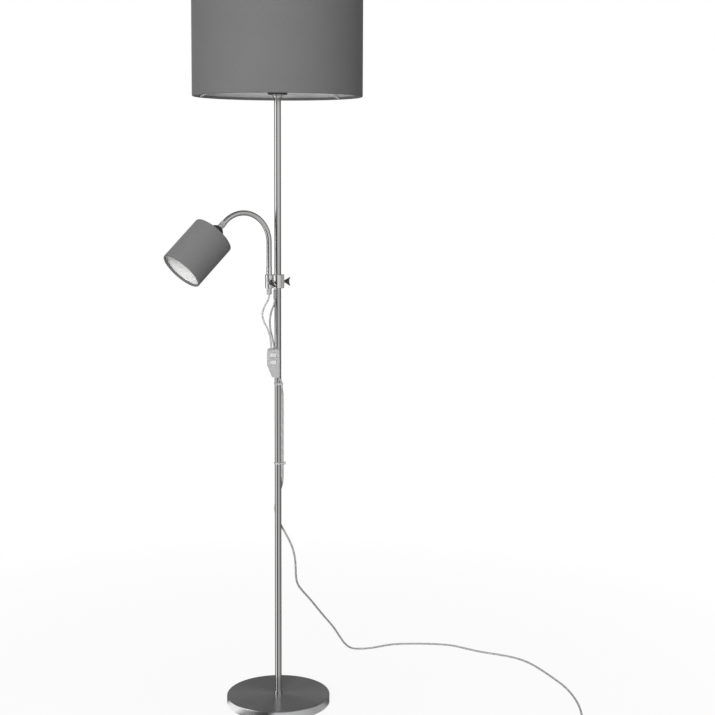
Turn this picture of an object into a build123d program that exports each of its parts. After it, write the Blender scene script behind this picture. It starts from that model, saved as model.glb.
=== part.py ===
from build123d import *
import math
import os

os.makedirs("parts", exist_ok=True)

# Torchiere floor lamp with a reading light on a gooseneck. Millimetres, +Z up.
# The origin is on the floor, on the pole's axis. The lamp is seen from -Y, with +X to the right.

# ---------------------------------------------------------------- driving sizes
CLEAR = 0.05  # running or assembly clearance, on the radius
LOOSE = 0.3  # clearance of soft or loosely laid pieces

PAD_T = 2.0
BASE_R = 125.0
BASE_H = 22.0
COVER_WALL = 1.2
COVER_EDGE_R = 3.0
HEM_LIFT = 1.0
RECESS_R = 90.0
WEIGHT_WEB = 9.8

STUD_R = 5.0
STUD_HOLE_R = 5.2
STUD_IN_POLE = 18.0
NUT_AF = 17.0
NUT_H = 8.0
STUD_FROM_NUT = 0.2
COLLAR_R = 10.5
COLLAR_H = 7.0
COLLAR_EDGE_R = 1.2

POLE_R = 8.0
POLE_WALL = 1.0
POLE_TOP = 1466.0
COUPLER_REACH = 16.0
COUPLER_SHOULDER = 0.6
SEAM_DEPTH = 0.2

OUTLET_Z = 1006.0
OUTLET_ANGLE = 233.0
OUTLET_HOLE_R = 3.0
GROMMET_W = 7.0
GROMMET_LOW = 990.0
GROMMET_HIGH = 1012.0
GROMMET_EDGE_R = 2.2
GROMMET_WALL = 0.9  # outside the cord's lane
GROMMET_WRAP = 2.0  # how far it reaches round the pole

SHORT_CORD_R = 2.2
LEAD_R = 2.5

CUP_R = 12.0
CUP_LAP = 3.0
CUP_WEB = 5.0
CUP_EDGE_R = 3.0
NIPPLE_R = 5.0
NIPPLE_BORE_R = 3.6
NIPPLE_DOWN = 8.0  # below the pole's top
NIPPLE_UP = 6.0  # above the wall it clamps
HOLDER_CAP_R = 23.6
HOLDER_CAP_H = 16.0
HOLDER_CAP_WALL = 2.0
HOLDER_CAP_EDGE_R = 2.0
HOLDER_R = 19.5
HOLDER_H = 46.0
HOLDER_WALL = 3.5
HOLDER_FLANGE_H = 4.0
HOLDER_LIP = 3.0
E27_R = 13.4
E27_WALL = 0.5
E27_LENGTH = 27.0
E27_TAB = (9.0, 4.0, 1.2)  # centre contact
E27_SIDE = (2.0, 4.0, 3.0)  # side contact
E27_SIDE_IN = 3.5  # from the screw shell
CONTACT_ROOM = 0.2  # over a socket's contacts
CONTACT_BORE_MORE = 0.1  # on the bore's radius, at the mouth of the contacts' pocket
POCKET_DRAFT = 0.6  # the pocket's mouth over its floor, on the radius
RING_NUT_R = 27.0
RING_NUT_H = 7.0
NUT_EDGE_R = 1.0
SPIDER_PLATE_T = 1.6
SPIDER_PLATE_UP = 22.0  # from the holder body's foot

SHADE_R = 200.0
SHADE_H = 245.0
SHADE_BOTTOM = 1466.3
SHADE_CLOTH = 0.8
SHADE_LINER = 0.4
SHADE_WIRE_R = 1.75
SPIDER_ANGLES = (45.0, 165.0, 285.0)
SPIDER_KNEE_R = 120.0
SPIDER_KNEE_UP = 33.0
SPIDER_PLATE_IN = 1.0  # inside the ring nut's edge
SPIDER_ROOT_IN = 3.0
SPIDER_ROOT_OUT = 12.0
SPIDER_ROOT_BEND = 30.0
SPIDER_KNEE_BEND = 90.0
SPIDER_NUT_ROOM = 1.5
RING_LIFT = 0.4  # rings and liners from the cloth's edge

CLAMP_LOW = 1015.5
CLAMP_H = 32.4
CLAMP_R = 12.0
BUSH_WALL = 0.95
BUSH_SLIT = 1.5
NECK_X = -20.5
NECK_SLEEVE_R = 9.4
PIN_R = 5.95
CLAMP_PAD_X = 14.8
CLAMP_PAD_W = 14.0
CLAMP_CHAMFER = 0.8
LOCK_STUD_R = 2.5
POLE_LOCK_Z = 1032.0
NECK_LOCK_Z = 1028.5
NECK_LOCK_ANGLE = 293.0
NECK_BOSS_R = 5.0
NECK_BOSS_REACH = 13.0
WING_FOOT = 16.3
WING_DEPTH = 13.6
WING_SPAN = 20.6
WING_DISH = 2.6
WING_T = 5.0
WING_NECK = 5.6
WING_ROUND = 0.9
WING_EDGE = 1.5  # flat rim of each lobe
WING_CANT = 0.6
NECK_WING_TURN = 35.0

FERRULE_R = 6.6
FERRULE_H = 18.0
PIN_BORE_R = 3.0
RELIEF_R = 6.0
RELIEF_H = 14.0
RELIEF_GAP = 1.4
FERRULE_EDGE_R = 0.8
RELIEF_EDGE_R = 2.0

NECK_HEADING = 217.0  # plan direction of the gooseneck's bow
NECK_BEND_Z = 1124.0
NECK_BEND_R = 71.0
NECK_BEND_ANGLE = 133.5
NECK_END_RUN = 13.5
NECK_CREST_R = 6.2
NECK_VALLEY_R = 5.5
NECK_PITCH = 3.0
NECK_RIB = ((0.0, 0), (0.2, 0), (0.4, 1), (0.8, 1))  # share of the pitch, valley or crest
NECK_BORE_R = 2.8
NECK_GAP = 1.5
NECK_BALL_R = 4.6
NECK_SEGMENTS = 4

HEAD_FERRULE_R = 7.3
HEAD_FERRULE_LAP = 10.0
HEAD_FERRULE_H = 6.0
HEAD_FERRULE_EDGE_R = 0.6
HEAD_STUD_L = 8.0
HEAD_CAP_R = 20.5
HEAD_CAP_H = 27.0
HEAD_CAP_WALL = 1.8
HEAD_CAP_RIM_H = 3.0
HEAD_CAP_SHOULDER = (0.75, 0.42)  # the dome's middle point, as shares of its width and height
READ_HOLDER_R = 13.5
READ_HOLDER_H = 38.0
READ_HOLDER_WALL = 2.5
READ_HOLDER_LAP = 2.0
READ_PLATE_T = 1.2
READ_NUT_R = 18.5
READ_NUT_H = 6.0
E14_R = 7.1
E14_WALL = 0.45
E14_LENGTH = 18.0
READ_FLOOR = 4.0
READ_LIP = 2.0
READ_TAB_R = 3.2
READ_TAB_H = 1.2
READ_RIVET_R = 2.0
READ_RIVET_PROUD = 2.0
READ_SHADE_R = 52.0
READ_SHADE_H = 117.0
READ_SHADE_UP = 30.0  # from the neck's end to the shade's upper rim
READ_WIRE_R = 1.1
READ_ARM_ANGLES = (30.0, 150.0, 270.0)
READ_ARM_IN = 2.0
READ_ARM_OUT = 8.0
READ_ARM_BEND = 12.0
READ_NUT_ROOM = 0.5

SWITCH_BACK = 8.4
SWITCH_DEPTH = 20.0
SWITCH_SPLIT = 8.0
SWITCH_WALL = 1.6
SWITCH_TOP = 872.0
SWITCH_H = 67.0
SWITCH_TAPER_H = 29.5
SWITCH_LEFT = -23.5
SWITCH_RIGHT = 6.6
SWITCH_TAIL_LEFT = -11.5
SWITCH_CORNER = 3.5
ROCKER_X = -8.4
ROCKER_DROPS = (14.0, 31.0)  # each rocker's axis below the switch's top
ROCKER_R = 5.6
ROCKER_W = 14.4
ROCKER_GAP = 0.3
ROCKER_PROUD = 3.4
ROCKER_TILT = 8.0
ROCKER_PIN_R = 1.0
ROCKER_PIN_L = 1.6
CHEEK_T = 2.0
CHEEK_H = 6.0
CHEEK_ROOT = 1.0
SCREW_TOP_INSET = 6.0  # of the upper screw, from the left and the top
SCREW_FOOT_INSET = (5.1, 7.0)  # of the lower screw, from the right and the foot
SCREW_R = 1.2
SCREW_HEAD_R = 2.3
SCREW_HEAD_H = 1.4
SCREW_L = 13.0
BOSS_R = 2.7

TIE_T = 1.2
TIE_W = 3.6
TIE_HEAD = (4.4, 5.0, 6.0)
TIE_HEAD_OUT = 0.4
TIE_SNUG = 0.2
TIE_DROP = 18.7  # the upper tie, below the switch
TIE_LOW_Z = 593.0
LANE_HIGH = (9.05, -6.8)  # where the lead lies beside the pole at the upper tie
LANE_LOW = (11.0, 0.4)  # and at the lower one

PLUG_L = 38.0
PLUG_W = 35.3
PLUG_T = 13.7
PLUG_NOSE_W = 25.0
PLUG_RELIEF_R = 4.0
PLUG_RELIEF_L = 16.0
PLUG_PIN_R = 2.0
PLUG_PIN_L = 19.0
PLUG_PIN_PITCH = 19.0
PLUG_PIN_ROOT = 10.0
PLUG_PIN_TIP_R = 1.2
PLUG_RELIEF_FLARE = 1.6
PLUG_BACK_SHARE = 0.45  # of the length, where the body is widest
PLUG_FRONT_SHARE = 0.3
PLUG_CORNER_R = 2.5
PLUG_EDGE_R = 2.2

FLOOR_CLEAR = 0.05
COIL_CENTRE = (698.0, -140.0)
COIL_R = 33.0
COIL_PITCH = 6.4
COIL_STEP = 5.8
COIL_TURNS_IN = 1.0
COIL_TURNS_OUT = 1.5
COIL_TAIL = 34.0

# ------------------------------------------------------- sizes that follow from them
POLE_BORE_R = POLE_R - POLE_WALL
BUSH_R = POLE_R + CLEAR + BUSH_WALL
PIN_HOLE_R = PIN_R + CLEAR
CLAMP_HIGH = CLAMP_LOW + CLAMP_H
FERRULE_TOP = CLAMP_HIGH + FERRULE_H
GROMMET_R = POLE_R + CLEAR + 2 * SHORT_CORD_R + GROMMET_WALL
CUP_TOP = POLE_TOP + CUP_WEB
HOLDER_FOOT = CUP_TOP + HOLDER_CAP_H
HOLDER_TOP = HOLDER_FOOT + HOLDER_H
LINER_R = SHADE_R - SHADE_CLOTH - CLEAR
RING_R = LINER_R - SHADE_LINER - CLEAR - SHADE_WIRE_R
PLATE_Z = HOLDER_FOOT + SPIDER_PLATE_UP
SHADE_TOP = SHADE_BOTTOM + SHADE_H
SWITCH_LOW = SWITCH_TOP - SWITCH_H
SWITCH_SHOULDER = SWITCH_LOW + SWITCH_TAPER_H
ROCKER_Z = tuple(SWITCH_TOP - drop for drop in ROCKER_DROPS)
SWITCH_SCREWS = (
    (SWITCH_LEFT + SCREW_TOP_INSET, SWITCH_TOP - SCREW_TOP_INSET),
    (SWITCH_RIGHT - SCREW_FOOT_INSET[0], SWITCH_LOW + SCREW_FOOT_INSET[1]),
)
TIE_HIGH_Z = SWITCH_LOW - TIE_DROP
LEAD_Z = LEAD_R + FLOOR_CLEAR
WIRE_Z = SHADE_BOTTOM + SHADE_WIRE_R + RING_LIFT


def tube(inner, outer, low, high, at=(0.0, 0.0)):
    """A plain round tube or, with no inner radius, a plain rod."""
    middle = (at[0], at[1], (low + high) / 2)
    shape = Cylinder(outer, high - low)
    if inner:
        shape -= Cylinder(inner, high - low)
    return Pos(*middle) * shape


def contact_pocket(bore_r, low, high):
    """The tapered pocket under a screw shell: its mouth leaves the shell a ledge to sit on."""
    mouth_r = bore_r + CONTACT_BORE_MORE
    return Pos(0, 0, (low + high) / 2) * Cone(mouth_r - POCKET_DRAFT, mouth_r, high - low)


def polar(radius, angle, z=0.0):
    """A point at a radius and a plan angle in degrees."""
    return (radius * math.cos(math.radians(angle)), radius * math.sin(math.radians(angle)), z)


def cord_tube(name, points, radius):
    """A cord as straight runs and tangent arcs through hand-picked points."""
    path_points = [Vector(*p) for p in points]
    runs = [b - a for a, b in zip(path_points, path_points[1:])]
    radii = []
    for before, after in zip(runs, runs[1:]):
        half_turn = math.radians(before.get_angle(after)) / 2
        radii.append(0.45 * min(before.length, after.length) / math.tan(half_turn))
    path = FilletPolyline(*path_points, radius=radii)
    section = Plane(origin=path @ 0, z_dir=path % 0) * Circle(radius)
    solid = sweep(section, path=path)
    print(name, "length", round(path.length, 1), "radii", [round(r, 1) for r in radii])
    print(name, "volume ratio", round(solid.volume / (math.pi * radius**2 * path.length), 4))
    return solid


# ---------------------------------------------------------------- base and pole
def base_parts():
    cover = Pos(0, 0, (HEM_LIFT + BASE_H) / 2) * Cylinder(BASE_R, BASE_H - HEM_LIFT)
    cover = fillet(cover.edges().group_by(Axis.Z)[-1], COVER_EDGE_R)
    inside_top = BASE_H - COVER_WALL
    inside = Pos(0, 0, inside_top / 2) * Cylinder(BASE_R - COVER_WALL, inside_top)
    inside = fillet(inside.edges().group_by(Axis.Z)[-1], COVER_EDGE_R - COVER_WALL)
    cover = cover - inside - tube(0, STUD_HOLE_R, 0, BASE_H + 1)

    weight = tube(0, BASE_R - COVER_WALL - LOOSE, PAD_T, inside_top)
    weight = chamfer(weight.edges().group_by(Axis.Z)[-1], COVER_EDGE_R - COVER_WALL)
    web_low = inside_top - WEIGHT_WEB
    weight -= tube(0, RECESS_R, PAD_T, web_low)
    weight -= tube(0, STUD_HOLE_R, PAD_T, BASE_H)

    nut = extrude(RegularPolygon(NUT_AF / 2, 6, major_radius=False), NUT_H)
    nut = Pos(0, 0, web_low - NUT_H) * nut - tube(0, STUD_R + CLEAR, 0, BASE_H)
    stud_low = web_low - NUT_H + STUD_FROM_NUT
    return {
        "base_pad": tube(0, BASE_R - COVER_WALL - LOOSE, 0, PAD_T),
        "base_weight": weight,
        "base_cover": cover,
        "base_nut": nut,
        "base_stud": tube(0, STUD_R, stud_low, BASE_H + STUD_IN_POLE),
    }


def pole_parts():
    section = (POLE_TOP - BASE_H) / 3
    seams = [BASE_H + section * i for i in (1, 2)]
    half = COUPLER_SHOULDER / 2
    plug_r = POLE_BORE_R - CLEAR
    collar = tube(POLE_R + CLEAR, COLLAR_R, BASE_H, BASE_H + COLLAR_H)
    collar = fillet(collar.edges().group_by(Axis.Z)[-1].sort_by(SortBy.RADIUS)[-1], COLLAR_EDGE_R)
    couplers = []
    for seam in seams:
        plug = tube(0, plug_r, seam - COUPLER_REACH, seam + COUPLER_REACH)
        couplers.append(plug + tube(0, POLE_R - SEAM_DEPTH, seam - half, seam + half))
    upper = tube(POLE_BORE_R, POLE_R, seams[1] + half, POLE_TOP)
    outlet = Pos(0, 0, OUTLET_Z) * Rot(0, 0, OUTLET_ANGLE) * Rot(0, 90, 0)
    upper -= outlet * Pos(0, 0, POLE_R) * Cylinder(OUTLET_HOLE_R, 2 * POLE_R)
    return {
        "foot_collar": collar,
        "foot_insert": tube(STUD_R + CLEAR, plug_r, BASE_H, BASE_H + STUD_IN_POLE),
        "pole_lower": tube(POLE_BORE_R, POLE_R, BASE_H, seams[0] - half),
        "pole_middle": tube(POLE_BORE_R, POLE_R, seams[0] + half, seams[1] - half),
        "pole_upper": upper,
        "pole_couplers": Compound(children=couplers),
        "pole_grommet": grommet(),
    }


def grommet():
    """Moulded outlet that hugs the pole and turns the uplight's cord downwards."""
    depth = GROMMET_R - POLE_R - CLEAR + GROMMET_WRAP
    block = Pos(GROMMET_R - depth / 2, 0, (GROMMET_LOW + GROMMET_HIGH) / 2)
    block *= Box(depth, GROMMET_W, GROMMET_HIGH - GROMMET_LOW)
    outer = block.edges().filter_by(Axis.Z).group_by(Axis.X)[-1]
    block = fillet(outer, GROMMET_EDGE_R)
    block -= tube(0, POLE_R + CLEAR, GROMMET_LOW - 1, GROMMET_HIGH + 1)
    stub_low = POLE_BORE_R - 0.1
    stub = Pos((stub_low + POLE_R + 1) / 2, 0, OUTLET_Z) * Rot(0, 90, 0)
    stub *= Cylinder(OUTLET_HOLE_R - CLEAR, POLE_R + 1 - stub_low)
    return Rot(0, 0, OUTLET_ANGLE) * (block + stub)


def inner_cord():
    """The uplight's cord inside the pole, from the lampholder down to the outlet."""
    top = (0, 0, HOLDER_FOOT)
    corner = (0, 0, OUTLET_Z)
    end = polar(POLE_BORE_R - 0.1, OUTLET_ANGLE, OUTLET_Z)
    path = FilletPolyline(top, corner, end, radius=2 * SHORT_CORD_R)
    return sweep(Plane(origin=path @ 0, z_dir=path % 0) * Circle(SHORT_CORD_R), path=path)


# ---------------------------------------------------------------- uplight
def uplight_parts():
    cup = tube(0, CUP_R, POLE_TOP - CUP_LAP, CUP_TOP)
    cup = fillet(cup.edges().group_by(Axis.Z)[0], CUP_EDGE_R)
    cup -= tube(0, POLE_R + CLEAR, POLE_TOP - CUP_LAP - 1, POLE_TOP)
    cup -= tube(0, NIPPLE_R + CLEAR, POLE_TOP - 1, CUP_TOP + 1)
    nipple_high = CUP_TOP + HOLDER_CAP_WALL + NIPPLE_UP
    nipple = tube(NIPPLE_BORE_R, NIPPLE_R, POLE_TOP - NIPPLE_DOWN, nipple_high)

    cap = tube(0, HOLDER_CAP_R, CUP_TOP, HOLDER_FOOT)
    cap = fillet(cap.edges().group_by(Axis.Z)[0], HOLDER_CAP_EDGE_R)
    cap -= tube(0, HOLDER_CAP_R - HOLDER_CAP_WALL, CUP_TOP + HOLDER_CAP_WALL, HOLDER_FOOT + 1)
    cap -= tube(0, NIPPLE_R + CLEAR, CUP_TOP - 1, HOLDER_FOOT)

    shoulder_r = HOLDER_CAP_R - HOLDER_CAP_WALL - CLEAR
    body = tube(0, HOLDER_R, HOLDER_FOOT, HOLDER_TOP)
    body += tube(0, HOLDER_CAP_R, HOLDER_FOOT, HOLDER_FOOT + HOLDER_FLANGE_H)
    body += tube(0, shoulder_r, HOLDER_FOOT - HOLDER_FLANGE_H, HOLDER_FOOT)
    body -= tube(0, HOLDER_R - HOLDER_WALL, CUP_TOP, HOLDER_TOP + 1)
    shell_r = E27_R + E27_WALL
    shell_top = HOLDER_TOP - HOLDER_LIP
    shell_low = shell_top - E27_LENGTH
    floor_top = shell_low - E27_SIDE[2] - CONTACT_ROOM
    insulator_r = HOLDER_R - HOLDER_WALL - CLEAR
    insulator = tube(0, insulator_r, HOLDER_FOOT, shell_low)
    insulator -= contact_pocket(E27_R, floor_top, shell_low)
    insulator += tube(shell_r + CLEAR, insulator_r, shell_low, shell_top)
    sleeve = tube(E27_R, shell_r, shell_low, shell_top)
    tab = Pos(0, 0, floor_top + E27_TAB[2] / 2) * Box(*E27_TAB)
    side = Pos(E27_R - E27_SIDE_IN, 0, floor_top + E27_SIDE[2] / 2) * Box(*E27_SIDE)

    plate_low = PLATE_Z
    plate_high = PLATE_Z + SPIDER_PLATE_T
    nut = tube(HOLDER_R + CLEAR, RING_NUT_R, 0, RING_NUT_H)
    rims = nut.edges().filter_by(GeomType.CIRCLE).sort_by(SortBy.RADIUS)[-2:]
    nut = fillet(rims, NUT_EDGE_R)
    nuts = [Pos(0, 0, plate_low - RING_NUT_H) * nut, Pos(0, 0, plate_high) * nut]
    return {
        "pole_top_cup": cup,
        "top_nipple": nipple,
        "holder_cap": cap,
        "holder_body": body,
        "holder_insulator": insulator,
        "holder_sleeve": sleeve,
        "holder_contacts": Compound(children=[tab, side]),
        "shade_ring_nuts": Compound(children=nuts),
    }


def wire_ring(radius, wire_radius, z):
    return Pos(0, 0, z) * Torus(radius, wire_radius)


def spider():
    """Centre plate and three bent wire arms that carry the upright shade."""
    plate_high = PLATE_Z + SPIDER_PLATE_T
    plate = tube(HOLDER_R + CLEAR, RING_NUT_R - SPIDER_PLATE_IN, PLATE_Z, plate_high)
    wire_r = SHADE_WIRE_R
    hub_z = PLATE_Z + SPIDER_PLATE_T / 2
    for angle in SPIDER_ANGLES:
        points = (
            polar(RING_NUT_R - SPIDER_ROOT_IN, angle, hub_z),
            polar(RING_NUT_R + SPIDER_ROOT_OUT, angle, hub_z),
            polar(SPIDER_KNEE_R, angle, SHADE_BOTTOM + SPIDER_KNEE_UP),
            polar(RING_R - wire_r * 0.6, angle, WIRE_Z),
        )
        path = FilletPolyline(*points, radius=(SPIDER_ROOT_BEND, SPIDER_KNEE_BEND))
        arm = sweep(Plane(origin=path @ 0, z_dir=path % 0) * Circle(wire_r), path=path)
        arm -= tube(0, RING_NUT_R + SPIDER_NUT_ROOM, PLATE_Z - RING_NUT_H, PLATE_Z)
        arm -= tube(0, RING_NUT_R + SPIDER_NUT_ROOM, plate_high, plate_high + RING_NUT_H)
        arm -= wire_ring(RING_R, wire_r + CLEAR, WIRE_Z)
        plate += arm
    return plate


def shade_parts():
    cloth = tube(SHADE_R - SHADE_CLOTH, SHADE_R, SHADE_BOTTOM, SHADE_TOP)
    liner = tube(LINER_R - SHADE_LINER, LINER_R, SHADE_BOTTOM + RING_LIFT, SHADE_TOP - RING_LIFT)
    return {
        "shade_fabric": cloth,
        "shade_liner": liner,
        "shade_spider": spider(),
        "shade_bottom_ring": wire_ring(RING_R, SHADE_WIRE_R, WIRE_Z),
        "shade_top_ring": wire_ring(RING_R, SHADE_WIRE_R, SHADE_TOP - SHADE_WIRE_R - RING_LIFT),
    }


# ---------------------------------------------------------------- clamp and its locks
def clamp_parts():
    def sleeve(radius, x):
        rod = tube(0, radius, CLAMP_LOW, CLAMP_HIGH, at=(x, 0))
        return chamfer(rod.edges().filter_by(GeomType.CIRCLE), CLAMP_CHAMFER)

    middle_z = (CLAMP_LOW + CLAMP_HIGH) / 2
    block = sleeve(CLAMP_R, 0) + sleeve(NECK_SLEEVE_R, NECK_X)
    block += Pos(NECK_X / 2, 0, middle_z) * Box(-NECK_X, NECK_SLEEVE_R, CLAMP_H)
    pad = Pos(CLAMP_PAD_X / 2, 0, middle_z) * Box(CLAMP_PAD_X, CLAMP_PAD_W, CLAMP_H)
    block += chamfer(pad.edges().group_by(Axis.X)[-1], CLAMP_CHAMFER)
    boss = Pos(0, 0, NECK_BOSS_REACH / 2) * Cylinder(NECK_BOSS_R, NECK_BOSS_REACH)
    block += neck_lock_place() * boss
    block -= tube(0, BUSH_R + CLEAR, CLAMP_LOW - 1, CLAMP_HIGH + 1)
    block -= tube(0, PIN_HOLE_R, CLAMP_LOW - 1, CLAMP_HIGH + 1, at=(NECK_X, 0))
    hole = Pos(0, 0, WING_FOOT / 2) * Cylinder(LOCK_STUD_R + CLEAR, WING_FOOT)
    block -= pole_lock_place() * hole
    block -= neck_lock_place() * hole
    bush = tube(POLE_R + CLEAR, BUSH_R, CLAMP_LOW, CLAMP_HIGH)
    bush -= Pos(0, POLE_R, middle_z) * Box(BUSH_SLIT, 4, CLAMP_H + 2)
    parts = {"clamp_bush": bush, "clamp_block": block}
    locks = (("pole", BUSH_R, pole_lock_place()), ("neck", PIN_R, neck_lock_place()))
    for name, face_r, place in locks:
        tip = face_r + 2 * CLEAR
        stud_top = WING_FOOT + WING_DEPTH / 2
        stud = Pos(0, 0, (tip + stud_top) / 2) * Cylinder(LOCK_STUD_R, stud_top - tip)
        parts[name + "_lock_screw"] = place * stud
        parts[name + "_lock_wing"] = place * wing(stud_top)
    return parts


def pole_lock_place():
    return Pos(0, 0, POLE_LOCK_Z) * Rot(0, 90, 0)


def neck_lock_place():
    place = Pos(NECK_X, 0, NECK_LOCK_Z) * Rot(0, 0, NECK_LOCK_ANGLE)
    return place * Rot(0, 90, 0) * Rot(0, 0, NECK_WING_TURN)


def wing(stud_top):
    """Moulded two-lobed wing on a lock screw, dished on its outer face."""
    half = WING_SPAN / 2
    top = WING_FOOT + WING_DEPTH
    right = (half, 0, top - WING_EDGE)
    tip = (half - WING_CANT, 0, top)
    outline = Polyline(
        (-tip[0], 0, tip[2]), (-half, 0, right[2]), (-WING_NECK / 2, 0, WING_FOOT),
        (WING_NECK / 2, 0, WING_FOOT), right, tip,
    )
    outline += ThreePointArc(tip, (0, 0, top - WING_DISH), (-tip[0], 0, tip[2]))
    lobe = extrude(make_face(outline), WING_T / 2, both=True)
    lobe = fillet(lobe.edges().filter_by(Axis.Y, reverse=True), WING_ROUND)
    hub = Pos(0, 0, WING_FOOT + WING_DEPTH / 4) * Cylinder(WING_NECK / 2 + 1, WING_DEPTH / 2)
    hole_high = stud_top + CLEAR
    hole = Pos(0, 0, (WING_FOOT + hole_high) / 2 - 1)
    hole *= Cylinder(LOCK_STUD_R + CLEAR, hole_high - WING_FOOT + 2)
    return lobe + hub - hole


# ---------------------------------------------------------------- gooseneck
NECK_PLACE = Pos(NECK_X, 0, 0) * Rot(0, 0, NECK_HEADING)
NECK_RISE = NECK_BEND_Z - FERRULE_TOP
NECK_ARC = NECK_BEND_R * math.radians(NECK_BEND_ANGLE)
NECK_LENGTH = NECK_RISE + NECK_ARC + NECK_END_RUN


def neck_at(along):
    """Point and tangent of the neck's centre line, in the plane of its bow."""
    if along <= NECK_RISE:
        return (0, 0, FERRULE_TOP + along), (0, 0, 1)
    turn = min((along - NECK_RISE) / NECK_BEND_R, math.radians(NECK_BEND_ANGLE))
    x = NECK_BEND_R * (1 - math.cos(turn))
    z = NECK_BEND_Z + NECK_BEND_R * math.sin(turn)
    over = max(along - NECK_RISE - NECK_ARC, 0.0)
    tangent = (math.sin(turn), 0, math.cos(turn))
    return (x + tangent[0] * over, 0, z + tangent[2] * over), tangent


def neck_plane(along):
    point, tangent = neck_at(along)
    return Plane(origin=point, x_dir=(0, 1, 0), z_dir=tangent)


def neck_segment(low, high):
    """One stretch of ribbed hose: four circles to a rib, ruled between them."""
    ribs = round((high - low) / NECK_PITCH)
    pitch = (high - low) / ribs
    radii = (NECK_VALLEY_R, NECK_CREST_R)
    sections = []
    for rib in range(ribs):
        for share, level in NECK_RIB:
            sections.append(neck_plane(low + (rib + share) * pitch) * Circle(radii[level]))
    sections.append(neck_plane(high) * Circle(NECK_VALLEY_R))
    return loft(sections, ruled=True)


def neck_bore(low, high):
    knots = [low, *(s for s in (NECK_RISE, NECK_RISE + NECK_ARC) if low < s < high), high]
    edges = []
    for a, b in zip(knots, knots[1:]):
        start, end = neck_at(a)[0], neck_at(b)[0]
        if NECK_RISE <= a < NECK_RISE + NECK_ARC:
            edges.append(ThreePointArc(start, neck_at((a + b) / 2)[0], end))
        else:
            edges.append(Line(start, end))
    return sweep(neck_plane(low) * Circle(NECK_BORE_R), path=Wire(edges))


NECK_JOINTS = [NECK_LENGTH * i / NECK_SEGMENTS for i in range(1, NECK_SEGMENTS)]


def neck_parts():
    pin = tube(0, PIN_R, CLAMP_LOW - RELIEF_GAP, CLAMP_HIGH)
    ferrule = tube(0, FERRULE_R, CLAMP_HIGH + CLEAR, FERRULE_TOP)
    ferrule = fillet(ferrule.edges().group_by(Axis.Z)[-1], FERRULE_EDGE_R)
    pin += ferrule
    pin += tube(0, PIN_R, CLAMP_HIGH - 1, CLAMP_HIGH + 1)
    pin -= tube(0, PIN_BORE_R, CLAMP_LOW - 5, FERRULE_TOP + 1)
    relief_top = CLAMP_LOW - RELIEF_GAP
    relief = tube(0, RELIEF_R, relief_top - RELIEF_H, relief_top)
    relief = fillet(relief.edges().group_by(Axis.Z)[0], RELIEF_EDGE_R)
    parts = {
        "neck_pin": Pos(NECK_X, 0, 0) * pin,
        "neck_strain_relief": Pos(NECK_X, 0, 0) * relief,
    }
    stops = [0.0, *NECK_JOINTS, NECK_LENGTH]
    for index, (start, end) in enumerate(zip(stops, stops[1:]), 1):
        first, last = index == 1, index == NECK_SEGMENTS
        low = start if first else start + NECK_GAP / 2
        high = end if last else end - NECK_GAP / 2
        segment = neck_segment(low, high)
        if not last:
            segment += neck_plane(end).location * Sphere(NECK_BALL_R)
        if not first:
            segment -= neck_plane(start).location * Sphere(NECK_BALL_R + CLEAR)
        segment -= neck_bore(low, end if last else end + NECK_BALL_R + NECK_GAP)
        parts["neck_segment_" + str(index)] = NECK_PLACE * segment
    return parts


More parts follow.
